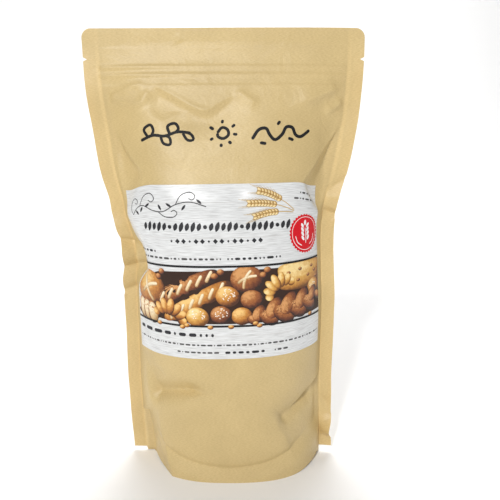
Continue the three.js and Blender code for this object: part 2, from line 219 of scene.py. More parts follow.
def walked_lengths(line):
    """How far it is along the line to each of its points."""
    return np.concatenate([[0], np.cumsum(np.hypot(*np.diff(line, axis=0).T))])


def walk_line(s, t, line, fade):
    """For each place: how far the line is, on which hand of someone who walks along it, and its strength there."""
    line = rounded_line(line)
    nearest = np.full(s.shape, np.inf)
    hand, along = np.ones(s.shape), np.zeros(s.shape)
    walked = walked_lengths(line)
    for start, end, so_far in zip(line, line[1:], walked):
        ds, dt = end - start
        length = np.hypot(ds, dt)
        share = np.clip(((s - start[0]) * ds + (t - start[1]) * dt) / length**2, 0, 1)
        away = np.hypot(s - start[0] - share * ds, t - start[1] - share * dt)
        closer = away < nearest
        nearest = np.where(closer, away, nearest)
        hand = np.where(closer, np.sign(ds * (t - start[1]) - dt * (s - start[0])), hand)
        along = np.where(closer, so_far + share * length, along)
    along = along / walked[-1]
    ends = smooth(0, fade[0] + 1e-6, along) * (1 - smooth(1 - fade[1] - 1e-6, 1, along))
    return nearest, hand, ends, along


def crease_depth(s, t, line, depth, left, right, sharp=0.8, fade=(0.3, 0.3), taper=(1, 1)):
    """Depth into the pouch of one crease, whose flanks reach `left` and `right` millimetres times the taper."""
    nearest, hand, ends, along = walk_line(s, t, line, fade)
    reach = np.where(hand > 0, left, right) * (taper[0] + (taper[1] - taper[0]) * along)
    rounded = np.sqrt(nearest**2 + sharp**2) - sharp
    return depth * (0.25 + 0.75 * ends) * ends * np.exp(-((rounded / reach) ** 1.25))


def ledge_depth(s, t, line, depth, side, widths, fade=(0.3, 0.15), recover=1e3):
    """The film is flat on one hand of the line and falls away on the other: steeply at first, then less and less.

    Side is 1 where it falls to the left. Widths are the wall's, in millimetres, at the line's start and end. About
    `recover` millimetres further on, the film is back where it was.
    """
    nearest, hand, ends, along = walk_line(s, t, line, fade)
    width = widths[0] + (widths[1] - widths[0]) * along
    away = np.maximum(nearest * np.where(hand == side, 1, -1), 0)
    return depth * ends * (1 - np.exp(-away / width)) * hump(away, 0, recover)


def dimple_depth(s, t, at, across, below, above, depth):
    """Depth into the pouch of one soft dent, which may reach further up than down."""
    up = np.where(t > at[1], above, below)
    return depth * np.exp(-(((s - at[0]) / across) ** 2) - ((t - at[1]) / up) ** 2)


probe = crease_depth(np.array([5.0]), np.array([50.0]), [(0, 0), (0, 100)], 10, 8, 8)
print("a 10 mm crease, 5 mm away:", round(float(probe[0]), 2), "mm deep")

# %% Where the pouch is creased
# Creases: the line, its depth (less than 0 for a ridge), its reach to the left and to the right, and then, where
# they aren't the usual ones, how rounded its bottom is, the shares that fade at its two ends, and its taper.
FRONT_CREASES = [
    # A bright little ridge where the film leaves the left seal.
    ([(-75.5, 238), (-76.5, 226), (-75.5, 214), (-74, 200), (-74, 186)], -2, 3, 2.5),
    # The film under the stiff zip: short puckers and the folds from both corners.
    ([(5, 257), (12, 254), (17, 250.5), (24, 247)], -1.2, 2.5, 4, 0.3),
    ([(79, 260), (71, 258), (60, 253.5), (48.5, 249), (33.5, 247)], -3, 3, 8, 0.4, (0.25, 0.5)),
    ([(79, 253), (71.5, 246.5), (64, 243)], -1.7, 2.2, 3.5, 0.3),
    # A worn edge along the broad V below the zip.
    ([(-43.5, 260.5), (-30.5, 252.5), (-13, 245), (-2, 248), (9, 256)], -0.5, 1.5, 1.2, 0.2, (0.15, 0.2)),
    ([(-74.5, 253.5), (-67.5, 250.5), (-55, 248.5), (-51, 250.5), (-46, 259)], -1.1, 3, 1.8, 0.2, (0.1, 0.15)),
    ([(-74.5, 253.5), (-65, 256.5), (-56, 260.5), (-46, 260.5)], -0.8, 1.8, 3, 0.2, (0.1, 0.25)),
    ([(-52, 247), (-43.5, 240.5), (-32.5, 234.5)], -0.7, 3, 6, 0.4),
    ([(-36, 234.5), (-31, 241), (-18, 242.5)], -0.5, 3, 1.6, 0.3),
    ([(-29, 293), (-25.5, 286)], -0.6, 1.5, 3, 0.2),
    # The dents above the base, which point inwards from both sides.
    ([(-62, 55.5), (-48.5, 60), (-36, 62.5), (-22, 64.5), (-4, 64)], 7.5, 12, 5, 0.6, (0.15, 0.4), (1.1, 0.35)),
    ([(-60, 77), (-50, 74.5), (-47.5, 69)], 1.2, 2, 8, 0.8, (0.3, 0.2)),
    ([(33, 39.5), (41.5, 46), (52, 49.5), (65, 52.5), (78, 50.5)], 4.8, 10, 6, 0.6, (0.15, 0.3), (0.6, 1.1)),
    # The label is dented from above, where it bridges the top of the filling.
    ([(5, 201), (15, 184), (26, 183.5), (40, 201)], 1.4, 5, 5, 1.5, (0.2, 0.2)),
]
# Ledges: the line, its depth, the hand it falls to, the wall's widths, the fading ends and where it recovers.
FRONT_LEDGES = [
    # The shoulders of the filling.
    ([(-73.5, 238), (-70.5, 228), (-65, 220), (-57, 213), (-48, 206)], 6.5, -1, (6, 6), (0.4, 0.3), 12),
    ([(79.5, 251), (78.5, 240.5), (75, 231), (68, 220.5), (59, 210.5), (49.5, 200)], 6, 1, (4, 8), (0.3, 0.1), 20),
    # A broad V below the zip, and the flat corners beside the base.
    ([(-46, 260.5), (-33, 254.5), (-19, 246.5), (-11, 244), (-4, 248.5), (4, 252.5), (12, 257)],
     3, -1, (3.5, 2.5), (0.15, 0.35), 15),
    ([(-60, 56), (-52.5, 49), (-50.5, 43), (-50, 31.5), (-48, 20), (-43, 8), (-38, -16)],
     6.5, -1, (7, 11), (0.55, 0)),
    ([(31.5, 42.5), (33, 39.5), (38, 31), (43.5, 17), (48, 5)], 2.8, 1, (4, 8), (0.2, 0.35)),
]
# Dimples: the place, the reach across, down and up, and the depth. The first is the pinched left side.
FRONT_DIMPLES = [((-70, 147), 10, 9, 14, 8.5)]
# Both panels are kinked together across the side seals.
SEAL_CREASES = [
    ([(-90, 162), (-81.5, 160), (-72, 158)], 3.2, 2, 5, 0.3, (0, 0.6)),
    ([(-90, 142), (-81, 143.5), (-60.5, 149)], 2.6, 2, 4.5, 0.3, (0, 0.6)),
    ([(-90, 124.5), (-83, 127), (-67, 133.5)], 2.2, 2, 4.5, 0.3, (0, 0.5)),
    ([(90, 203), (82.5, 197.5), (71.5, 196)], 1.5, 4, 2, 0.3, (0, 0.6)),
    ([(90, 178), (83.5, 180), (75.5, 182.5)], 3, 5, 1.8, 0.3, (0, 0.5)),
    ([(90, 29), (85.5, 37.5), (77, 48.5)], 1.8, 3, 5, 0.4, (0, 0.5)),
    ([(90, 6), (85, 9.5), (81, 12)], 1.4, 2, 3, 0.4, (0, 0.5)),
]
# Bends of a seal to the front: the side, the height, the reach up and inwards, and the distance.
SEAL_BENDS = [(-1, 151, 5, 13, 2.2), (-1, 134, 6, 11, 1.8), (-1, 170, 5, 10, 1.2), (1, 189, 5, 12, 1.8),
              (1, 17, 7, 12, 3)]
BACK_CREASES = [
    ([(-30, 262), (4, 246), (40, 260)], -1.4, 9, 4),
    ([(-34, 250), (4, 234), (36, 247)], 2, 7, 13, 3),
    ([(-58, 128), (-30, 140), (-6, 132)], 1.6, 5, 14),
    ([(66, 92), (44, 84), (30, 96)], 2, 5, 12),
    ([(-70, 58), (-54, 46), (-50, 14)], 2.6, 4, 9, 0.8, (0.12, 0.5)),
    ([(36, 48), (52, 44), (66, 26)], 2.4, 9, 5, 0.8, (0.12, 0.5)),
]
BACK_LEDGES = [
    ([(-80, 250), (-74, 234), (-66, 221), (-54, 205)], 5, -1, (5, 8)),
    ([(79, 247), (70, 228), (60, 214), (50, 203)], 5, 1, (4, 8)),
]
BACK_DIMPLES = [((68, 150), 10, 14, 14, 4), ((-8, 186), 22, 14, 14, 1.4)]
FOLDS = {
    FRONT: ((crease_depth, FRONT_CREASES), (ledge_depth, FRONT_LEDGES), (dimple_depth, FRONT_DIMPLES)),
    BACK: ((crease_depth, BACK_CREASES), (ledge_depth, BACK_LEDGES), (dimple_depth, BACK_DIMPLES)),
}
print(f"{len(FRONT_CREASES)} creases in front, {len(BACK_CREASES)} behind")

# %% [markdown]
# ## The two panels
#
# A panel is a grid of points. Its rows are closer together at the zip, the notches and the rounded corners, where
# the detail is small. The folds move each point along the sheet's normal, so their depth is true wherever the
# panel faces. The seam of the bottom gusset is an arc, and the skirt below it flares out.

# %% The rows and columns of the film
COLUMNS = merged(np.linspace(-EDGE_HALF, -PANEL_HALF, 7), np.linspace(-PANEL_HALF, PANEL_HALF, 141),
                 np.linspace(PANEL_HALF, EDGE_HALF, 7))
ROWS = merged(np.linspace(0, 24, 25), np.linspace(24, 200, 151), np.linspace(200, 256, 63),
              np.linspace(256, 289, 51), NOTCH_HEIGHT + NOTCH_HALF * np.array([-1, 0, 1]),
              HEIGHT - CORNER_RADIUS * (1 - np.sin(np.linspace(0, math.pi / 2, 9))))
ARC_LOW, ARC_RISE, ARC_SPAN = 9.5, 10.0, 46.0
SKIRT_FLARE = 1.4
print(f"panel grid: {len(COLUMNS)} columns x {len(ROWS)} rows")


def skirt_depth(s, t):
    """The gusset's seam tucks in, and the skirt below it flares out."""
    seam = ARC_LOW + ARC_RISE * (s / ARC_SPAN) ** 2
    within = 1 - smooth(ARC_SPAN - 6, PANEL_HALF - 14, np.abs(s))
    above, below = np.maximum(t - seam, 0), np.clip((seam - t) / ARC_LOW, 0, 1)
    groove = 1.5 * np.exp(-above / 5) + 0.9 * np.exp(-above / 1.6)
    return within * (groove * (1 - below) - SKIRT_FLARE * below)


def unevenness(s, t, seed, waves=14):
    """Slow, shallow waves, as film over packed flour has."""
    rng = random.Random(seed)
    total = np.zeros(s.shape)
    for _ in range(waves):
        turn, length = rng.uniform(0, math.pi), rng.uniform(22, 70)
        phase, share = rng.uniform(0, 2 * math.pi), rng.uniform(0.4, 1)
        total += share * np.sin(2 * math.pi * (s * math.cos(turn) + t * math.sin(turn)) / length + phase)
    return total / waves


def zip_relief(s, t):
    """The closed zip shows through as two ridges, and the seals' pressed borders as faint steps."""
    within = smooth(0, 3, PANEL_HALF - np.abs(s))
    ridges = sum(0.35 * hump(t, at, 1.3) for at in ZIP_HEIGHTS) * (1 + smooth(-10, -70, s))
    flange = 0.22 * (1 - smooth(260.0, 261.2, t)) * smooth(254, 260, t)
    top_seal = -0.18 * smooth(283.2, 284.2, t)
    return within * (ridges + flange) + top_seal


def sway(s, t):
    """Movement to the front that both panels share: bent side seals and a wavy top."""
    forward = np.zeros(s.shape)
    for crease in SEAL_CREASES:
        forward -= crease_depth(s, t, *crease)
    for side, at, reach_up, reach_in, shift in SEAL_BENDS:
        inward = np.maximum(EDGE_HALF - side * s, 0)
        forward += shift * np.exp(-(((t - at) / reach_up) ** 2) - (inward / reach_in) ** 2)
    hand = np.where(s > 0, 1, -1)
    edge = smooth(PANEL_HALF - 14, EDGE_HALF, np.abs(s))
    forward += edge * (0.7 * np.sin(t / 17 + hand) + 0.4 * np.sin(t / 7.3 + 2 * hand))
    return -forward - smooth(FLAT_FROM - 40, HEIGHT, t) * 1.2 * np.sin(s / 38 + 0.6)


# %% Shape the front and back panels


def shape_panel(side):
    points = plain_panel(side, COLUMNS, ROWS)
    s, t = np.meshgrid(COLUMNS, ROWS)
    depth = skirt_depth(s, t) + 0.9 * unevenness(s, t, seed=3 + side) * (1 - smooth(235, 262, t))
    for depth_of, table in FOLDS[side]:
        for fold in table:
            depth += depth_of(s, t, *fold)
    depth *= smooth(0, 5, PANEL_HALF - np.abs(s))
    inside = (np.abs(s) < PANEL_HALF)[:, :, None]
    points += sheet_normals(points, side) * (zip_relief(s, t) - depth)[:, :, None] * inside
    outward = np.maximum(side * points[:, :, 1], FILM / 2)
    wings = np.abs(s) > PANEL_HALF
    points[:, :, 1] = np.where(wings, points[:, :, 1], side * outward) + sway(s, t)
    lift = corner_lift(s, t)
    points[0, :, 2] = lift[0]
    points[1:, :, 2] = np.maximum(points[1:, :, 2], 0.2 + lift[1:])
    return points, s, t


front_points, S, T = shape_panel(FRONT)
back_points, _, _ = shape_panel(BACK)
both = np.concatenate([front_points.reshape(-1, 3), back_points.reshape(-1, 3)])
MIDDLE = np.array([*((both.min(0) + both.max(0)) / 2)[:2], 0])
for sheet in (front_points, back_points):
    sheet -= MIDDLE
print("filled pouch (mm):", np.round(both.max(0) - both.min(0), 1), "centred by", np.round(MIDDLE, 2))

# %% [markdown]
# ## The base
#
# The gusset is one sheet with a fold down its middle. The flour opens it into an oval floor: its rim is the skirt's
# edge, the sheet sags onto the table just inside that rim, and the old fold still stands up along the middle. It is
# made as rows of points from the front edge to the back edge.

# %% Shape the gusset
GUSSET_STEPS = np.array([-0.97, -0.9, -0.8, -0.68, -0.55, -0.42, -0.3, -0.2, -0.11, -0.04, 0])
GUSSET_SHARES = np.concatenate([GUSSET_STEPS, -GUSSET_STEPS[-2::-1]])
RIM_HEIGHT, FOLD_HEIGHT, PUCKER_HEIGHT = 1.1, 2.6, 0.35


def shape_gusset(front_edge, back_edge, s):
    """Rows of points between the two bottom edges, for the columns inside the side seals."""
    rows = []
    half_depth = np.linalg.norm(back_edge - front_edge, axis=1) / 2
    open_share = smooth(1, 14, half_depth)
    for share in GUSSET_SHARES:
        from_fold = abs(share)
        row = front_edge + (back_edge - front_edge) * (share + 1) / 2
        rim = RIM_HEIGHT * smooth(0, 0.1, 1 - from_fold) * (1 - smooth(0.1, 0.5, 1 - from_fold))
        fold = FOLD_HEIGHT * math.exp(-from_fold / 0.1)
        pucker = PUCKER_HEIGHT * np.sin(s / 4.3 + 3 * share) * (1 - smooth(0.05, 0.5, from_fold))
        row[:, 2] *= from_fold**3
        row[:, 2] += 0.1 + open_share * (rim + np.maximum(fold + pucker * (fold > 0.2), 0))
        rows.append(row)
    return np.array(rows)


inner = np.where(np.abs(COLUMNS) <= PANEL_HALF + 1e-6)[0]
gusset_columns = inner[1:-1]
gusset = shape_gusset(front_points[0, gusset_columns], back_points[0, gusset_columns], COLUMNS[gusset_columns])
print(f"gusset: {gusset.shape[0]} rows x {gusset.shape[1]} columns")

# %% [markdown]
# ## From sheets to a mesh
#
# The panels, the gusset and the cut edges are welded into one closed skin. Each corner of each face also keeps its
# place on the flat sheet in a UV map, in millimetres over a hundred, so that the paper's grain follows the film
# around its folds and not the space around it.

# %% A mesh builder
MM = 0.001
UV_UNIT = 100
SHARP_FROM = math.radians(40)


def link_object(name, data):
    """An object with this data in the scene."""
    made = bpy.data.objects.new(name, data)
    bpy.context.scene.collection.objects.link(made)
    return made


class Skin:
    """Collects faces by their corners, each with a place in space and a place on the flat sheet."""

    def __init__(self):
        self.places, self.faces, self.flats, self.locals, self.slots = [], [], [], [], []

    def add_points(self, points):
        """Keeps the points and returns their numbers, in the same rows."""
        start = len(self.places)
        self.places.extend(points.reshape(-1, 3))
        return start + np.arange(points[..., 0].size).reshape(points.shape[:-1])

    def face(self, corners, flat, slot=0, local=None):
        self.faces.append([int(c) for c in corners])
        self.flats.append([(f[0] / UV_UNIT, f[1] / UV_UNIT) for f in flat])
        self.slots.append(slot)
        if local is not None:
            self.locals.append([tuple(place) for place in local])

    def grid(self, index, flat, flip=False, slot=0, local=None):
        """Faces between neighbours in a grid of point numbers."""
        for r in range(index.shape[0] - 1):
            for c in range(index.shape[1] - 1):
                around = [(r, c), (r, c + 1), (r + 1, c + 1), (r + 1, c)]
                if flip:
                    around.reverse()
                inside = None if local is None else [local[p] for p in around]
                self.face([index[p] for p in around], [flat[p] for p in around], slot, inside)

    def build(self, name, materials):
        mesh = bpy.data.meshes.new(name)
        mesh.from_pydata([tuple(p * MM) for p in self.places], [], self.faces)
        for layer_name, corners in (("flat", self.flats), ("local", self.locals)):
            if corners:
                layer = mesh.uv_layers.new(name=layer_name)
                layer.data.foreach_set("uv", np.array([uv for face in corners for uv in face], np.float32).ravel())
        for material in materials:
            mesh.materials.append(material)
        mesh.polygons.foreach_set("material_index", self.slots)
        mesh.polygons.foreach_set("use_smooth", [True] * len(self.faces))
        mesh.set_sharp_from_angle(angle=SHARP_FROM)
        mesh.update()
        print(f"{name}: {len(mesh.vertices)} vertices, {len(mesh.polygons)} faces")
        return link_object(name, mesh)


# %% Weld the pouch
BACK_OFFSET = 200
GUSSET_FLAT = 70
FAN_FLAT = [(0, -GUSSET_FLAT), (0, 1 - GUSSET_FLAT), (1, 1 - GUSSET_FLAT)]


def weld_pouch(materials):
    skin = Skin()
    flat = np.dstack([S, T])
    front, back = skin.add_points(front_points), skin.add_points(back_points)
    skin.grid(front, flat)
    skin.grid(back, flat + [BACK_OFFSET, 0], flip=True)
    for column, flip in ((0, True), (-1, False)):
        strip = np.stack([front[:, column], back[:, column]], axis=1)
        skin.grid(strip, np.stack([flat[:, column], flat[:, column] + [FILM, 0]], axis=1), flip=flip)
    skin.grid(np.stack([front[-1], back[-1]]), np.stack([flat[-1], flat[-1] + [0, FILM]]))
    floor = np.vstack([front[0, gusset_columns], skin.add_points(gusset), back[0, gusset_columns]])
    skin.grid(floor, np.dstack(np.meshgrid(COLUMNS[gusset_columns], np.linspace(-GUSSET_FLAT, 0, len(floor)))),
              flip=True)
    # A fan of triangles closes each end of the gusset, and thin strips close the seals beside it.
    for edge, end in ((inner[0], 0), (inner[-1], -1)):
        fan, near, far = floor[:, end], front[0, edge], back[0, edge]
        half = len(fan) // 2
        triangles = [(near if k <= half else far, fan[k], fan[k - 1]) for k in range(1, len(fan))]
        for corners in [*triangles, (near, far, fan[half])]:
            skin.face(corners if end == 0 else corners[::-1], FAN_FLAT)
    for c in [*range(0, inner[0]), *range(inner[-1], len(COLUMNS) - 1)]:
        corners = [front[0, c], back[0, c], back[0, c + 1], front[0, c + 1]]
        skin.face(corners, [(COLUMNS[c], 0), (COLUMNS[c], -FILM), (COLUMNS[c + 1], -FILM), (COLUMNS[c + 1], 0)])
    return skin.build("kraft_pouch", materials)


# %% [markdown]
# ## Kraft paper
#
# Kraft laminate is brown, unbleached fibre under a thin clear layer. From near it has short fibres that lie in all
# directions, a fine grain, and a few dark specks. An image of paper would repeat and would need a file, so two
# noise fields are stretched at crossing angles to draw the fibres. They sit in a group, because the label's paper
# uses the same fibres with finer values.

# %% Shader helpers and a group for paper fibres


def new_group(name, vectors, values, results):
    """A shader node group that takes named vectors and values, and gives named values."""
    group = bpy.data.node_groups.new(name, "ShaderNodeTree")
    for label in vectors:
        group.interface.new_socket(name=label, in_out="INPUT", socket_type="NodeSocketVector")
    for label, default in values.items():
        socket = group.interface.new_socket(name=label, in_out="INPUT", socket_type="NodeSocketFloat")
        socket.default_value = default
    for label in results:
        group.interface.new_socket(name=label, in_out="OUTPUT", socket_type="NodeSocketFloat")
    return group, group.nodes.new("NodeGroupInput").outputs, group.nodes.new("NodeGroupOutput").inputs


def add_node(tree, kind, settings=None, **links):
    """A shader node with its settings, and its inputs set or linked by name, or by number as in i0."""
    node = tree.nodes.new("ShaderNode" + kind)
    for key, value in (settings or {}).items():
        setattr(node, key, value)
    for key, value in links.items():
        socket = node.inputs[int(key[1:]) if key[1:].isdigit() else key.replace("_", " ")]
        if isinstance(value, bpy.types.NodeSocket):
            tree.links.new(value, socket)
        else:
            socket.default_value = value
    return node


def calc(tree, operation, a, b=None, clamp=False):
    """The result of one calculation with one or two values."""
    values = {"i0": a} if b is None else {"i0": a, "i1": b}
    return add_node(tree, "Math", {"operation": operation, "use_clamp": clamp}, **values).outputs[0]


def noise(tree, place, scale, detail, **settings):
    """A noise pattern as a value."""
    return add_node(tree, "TexNoise", Vector=place, Scale=scale, Detail=detail, **settings).outputs[0]


def stretched(tree, place, scale, turn=0.0):
    """The place turned and scaled, so that a pattern there is drawn out."""
    return add_node(tree, "Mapping", Vector=place, Rotation=(0, 0, turn), Scale=scale).outputs[0]


def remap(tree, value, start, end, low=0.0, high=1.0):
    """The value from start to end, spread from low to high."""
    return add_node(tree, "MapRange", Value=value, From_Min=start, From_Max=end, To_Min=low, To_Max=high).outputs[0]


def blend(tree, share, under, over, kind="MIX"):
    """A share of one colour over another."""
    return add_node(tree, "Mix", {"data_type": "RGBA", "blend_type": kind}, i0=share, i6=under, i7=over).outputs[2]


def make_fibre_group():
    group, given, out = new_group("Paper Fibres", ["Vector"], {"Scale": 60.0, "Speck Share": 0.3},
                                  ["Fibre", "Specks", "Mottle"])
    place, scale = given["Vector"], given["Scale"]
    fibres = [noise(group, stretched(group, place, (1, 7, 1), turn), scale, 3.0) for turn in (0.35, 1.9)]
    speck_noise = noise(group, place, calc(group, "MULTIPLY", scale, 2.2), 1.0)
    speck_edge = remap(group, given["Speck Share"], 0.0, 1.0, 0.82, 0.55)
    group.links.new(calc(group, "MULTIPLY", calc(group, "ADD", *fibres), 0.5), out["Fibre"])
    group.links.new(calc(group, "GREATER_THAN", speck_noise, speck_edge), out["Specks"])
    group.links.new(noise(group, place, calc(group, "MULTIPLY", scale, 0.06), 2.0), out["Mottle"])
    return group


PAPER_FIBRES = make_fibre_group()
print("group made:", PAPER_FIBRES.name)

# %% The kraft material
SPECK_BROWN = (0.36, 0.24, 0.11, 1)
# The panel's plain tint, from which the seal ramp with its painted highlight and shade starts.
FILM_TINT = (0.88, 0.89, 0.895)
UNCHANGED = (1.0, 1.0, 1.0)


def new_material(name, **settings):
    """A material with its Principled BSDF's plain values set by name."""
    material = bpy.data.materials.new(name)
    material.use_nodes = True
    shader = material.node_tree.nodes["Principled BSDF"]
    for key, value in settings.items():
        shader.inputs[key.replace("_", " ")].default_value = value
    return material, material.node_tree, shader.inputs


def colour_ramp(tree, value, stops):
    """A colour ramp over a value, from (place, colour) stops."""
    ramp = add_node(tree, "ValToRGB", i0=value)
    elements = ramp.color_ramp.elements
    while len(elements) < len(stops):
        elements.new(0.5)
    for element, (place, colour) in zip(elements, stops):
        element.position = place
        element.color = (*colour, 1)
    return ramp.outputs[0]


def uv_place(tree, layer="flat"):
    return add_node(tree, "UVMap", {"uv_map": layer}).outputs[0]


def paper_fibres(tree, place, scale, speck_share):
    return add_node(tree, "Group", {"node_tree": PAPER_FIBRES}, Vector=place, Scale=scale,
                    Speck_Share=speck_share).outputs


def make_kraft():
    material, tree, shader = new_material("kraft_film", Roughness=0.46, Specular_IOR_Level=0.5)
    place = uv_place(tree)
    fibres = paper_fibres(tree, place, 55.0, 0.32)
    tone = colour_ramp(tree, fibres["Fibre"], [
        (0.3, (0.585, 0.42, 0.182)), (0.5, (0.7, 0.523, 0.243)), (0.7, (0.795, 0.612, 0.307))])
    mottle = colour_ramp(tree, fibres["Mottle"], [(0.35, (0.93, 0.925, 0.915)), (0.65, UNCHANGED)])
    paper = blend(tree, 1.0, tone, mottle, "MULTIPLY")

    # On the flat sheet the back panel lies BACK_OFFSET further across. The place across is wrapped, so that both
    # panels get the same seals.
    across, up = add_node(tree, "SeparateXYZ", Vector=place).outputs[:2]
    wrapped = calc(tree, "FLOORED_MODULO", calc(tree, "ADD", across, 1.0), 2.0)
    aside = calc(tree, "ABSOLUTE", calc(tree, "SUBTRACT", wrapped, 1.0))
    # The film's colour changes across the side seals. A band just inside each seal is darker, as painted shade
    # where the film turns into the seal. A pale line along the seal's edge is a painted highlight, and the seal is
    # lighter than the panel.
    seal_ramp_with_painted_light = colour_ramp(tree, remap(tree, aside, 0.7, 0.9), [
        (0.2, FILM_TINT), (0.4, (0.84, 0.84, 0.84)), (0.46, UNCHANGED), (0.52, UNCHANGED),
        (0.58, (0.92, 0.915, 0.9)), (0.9, (0.96, 0.945, 0.92))])
    # From the zip up to the top seal, the seal ramp with its painted highlight and shade fades to three tenths over
    # the plain tint.
    seals = blend(tree, remap(tree, up, 2.7, 2.84, 1.0, 0.3), (*FILM_TINT, 1), seal_ramp_with_painted_light)
    paper = blend(tree, 1.0, paper, seals, "MULTIPLY")
    paper = blend(tree, calc(tree, "MULTIPLY", fibres["Specks"], 0.35), paper, SPECK_BROWN)
    tree.links.new(paper, shader["Base Color"])

    fine = add_node(tree, "Bump", Height=fibres["Fibre"], Strength=0.12, Distance=0.0004)
    handled = noise(tree, place, 7.0, 4.0, Roughness=0.55, Distortion=1.2)
    rumpled = add_node(tree, "Bump", Height=handled, Strength=0.35, Distance=0.0015, Normal=fine.outputs[0])
    tree.links.new(rumpled.outputs[0], shader["Normal"])
    return material


KRAFT = make_kraft()
pouch = weld_pouch([KRAFT])
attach(pouch, "root")
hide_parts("pouch")

# %% [markdown]
# ## Things stuck to the front
#
# The sticker, its print and the marker lines all follow the front panel. They are drawn on the flat sheet and then
# looked up on the panel's own grid of points, so nothing floats or sinks, whatever the folds do. Each layer is
# lifted by a small, real amount.

# %% Look up a place on the front panel
LABEL_WIDTH, LABEL_LOW, LABEL_HIGH = 140.0, 90.0, 200.0
LABEL_TURN = math.radians(1)
front_normals = sheet_normals(front_points, FRONT)


def on_front(s, t, lift):
    """Points `lift` millimetres above the front panel at the flat places (s, t)."""
    s, t = np.asarray(s, float), np.asarray(t, float)
    column = np.clip(np.searchsorted(COLUMNS, s) - 1, 0, len(COLUMNS) - 2)
    row = np.clip(np.searchsorted(ROWS, t) - 1, 0, len(ROWS) - 2)
    across = ((s - COLUMNS[column]) / (COLUMNS[column + 1] - COLUMNS[column]))[..., None]
    up = ((t - ROWS[row]) / (ROWS[row + 1] - ROWS[row]))[..., None]

    def between(values):
        low = values[row, column] * (1 - across) + values[row, column + 1] * across
        high = values[row + 1, column] * (1 - across) + values[row + 1, column + 1] * across
        return low * (1 - up) + high * up

    return between(front_points) + between(front_normals) * lift


def on_label(a, b, lift):
    """The same for a place on the label: a across from its middle, b up from the pouch's bottom edge."""
    a, b = np.asarray(a, float), np.asarray(b, float)
    rise = b - (LABEL_LOW + LABEL_HIGH) / 2
    turn = math.tan(LABEL_TURN)
    return on_front(a - turn * rise, b + turn * a, lift)


print("label's upper left corner (mm):", np.round(on_label(-LABEL_WIDTH / 2, LABEL_HIGH, 0), 1))

# %% [markdown]
# ## The label
#
# A quarter sheet of glossy paper, printed with pale whitewashed boards. It is a thin closed sheet with a real edge.
# The boards could be geometry, but they are only ink, so they are drawn in the material: the sheet's height picks a
# board, and noise stretched along the boards gives the grain.

# %% Make the label's sheet
LABEL_LIFT, LABEL_PAPER = 0.22, 0.14
# A board's height, the share of it that is a dark gap, and the strength of the gap's ink.
BOARD_HEIGHT, BOARD_GAP, GAP_STRENGTH = 21.0, 0.025, 0.35


def weld_label(materials):
    skin = Skin()
    a, b = np.meshgrid(np.linspace(-LABEL_WIDTH / 2, LABEL_WIDTH / 2, 127), np.linspace(LABEL_LOW, LABEL_HIGH, 99))
    flat = np.dstack([a, b])
    outer = skin.add_points(on_label(a, b, LABEL_LIFT + LABEL_PAPER))
    under = skin.add_points(on_label(a, b, LABEL_LIFT))
    skin.grid(outer, flat)
    skin.grid(under, flat, flip=True)
    for axis in (0, 1):
        for end, first, second in ((0, under, outer), (-1, outer, under)):
            strip = np.stack([first.take(end, axis), second.take(end, axis)], axis)
            skin.grid(strip, np.stack([flat.take(end, axis)] * 2, axis))
    return skin.build("label_sheet", materials)


def make_board_print():
    material, tree, shader = new_material("label_boards", Roughness=0.32, Specular_IOR_Level=0.5)
    place = uv_place(tree)
    grain = noise(tree, stretched(tree, place, (1.2, 26, 1)), 9.0, 4.0)
    tone = colour_ramp(tree, grain, [
        (0.34, (0.54, 0.542, 0.54)), (0.47, (0.68, 0.69, 0.69)), (0.62, (0.785, 0.797, 0.8))])
    up = add_node(tree, "SeparateXYZ", Vector=place).outputs[1]
    within = calc(tree, "FRACT", calc(tree, "MULTIPLY", up, UV_UNIT / BOARD_HEIGHT))
    gap = calc(tree, "MULTIPLY", calc(tree, "LESS_THAN", within, BOARD_GAP), GAP_STRENGTH)
    tree.links.new(blend(tree, gap, tone, (0.5, 0.48, 0.46, 1)), shader["Base Color"])
    fibres = paper_fibres(tree, place, 140.0, 0.1)
    bump = add_node(tree, "Bump", Height=fibres["Fibre"], Strength=0.05, Distance=0.0002)
    tree.links.new(bump.outputs[0], shader["Normal"])
    return material


label = weld_label([make_board_print()])
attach(label, "root")
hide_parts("label")

# %% [markdown]
# ## Drawing in ink
#
# Print and marker lines have no thickness worth modelling, but they need crisp edges from near and far. A painted
# image would blur and can't be moved. So each mark is a small sheet of faces on the label or on the film: strokes
# are ribbons with round ends, and filled shapes are discs made of rings. Their corners keep a second UV place,
# from -1 to 1 across the shape, which the shaders use for painted light and shade.

# %% Strokes and discs
LABEL_FACE = LABEL_LIFT + LABEL_PAPER + 0.05
LAYER = 0.03
CAP_STEPS = np.array([0, 0.03, 0.12, 0.28, 0.5])


def once_around(count):
    """Angles around a circle, at even steps."""
    return np.linspace(0, 2 * math.pi, count, endpoint=False)


def circle(turns):
    """Points on a circle of radius 1, at these angles."""
    return np.column_stack([np.cos(turns), np.sin(turns)])


def ribbon(skin, place, line, width, lift, slot=0, across=2):
    """A stroke of even width with round ends."""
    line = rounded_line(line, step=0.7)
    walked = walked_lengths(line)
    total = walked[-1]
    caps = min(width, total) * CAP_STEPS
    stops = merged(caps, total - caps, np.linspace(0, total, max(3, int(total / 0.9))))
    spine = np.column_stack([np.interp(stops, walked, line[:, k]) for k in (0, 1)])
    ahead = np.gradient(spine, stops, axis=0)
    ahead /= np.linalg.norm(ahead, axis=1, keepdims=True)
    to_end = np.minimum(np.minimum(stops, total - stops) / (width / 2), 1)
    half = width / 2 * np.sqrt(np.maximum(1 - (1 - to_end) ** 2, 1e-4))
    side = np.linspace(-1, 1, across)
    left = np.column_stack([-ahead[:, 1], ahead[:, 0]])
    marks = spine[:, None] - left[:, None] * (half[:, None] * side[None])[:, :, None]
    local = np.dstack(np.meshgrid(side, np.linspace(-1, 1, len(stops))))
    skin.grid(skin.add_points(place(marks[..., 0], marks[..., 1], lift)), marks, slot=slot, local=local)


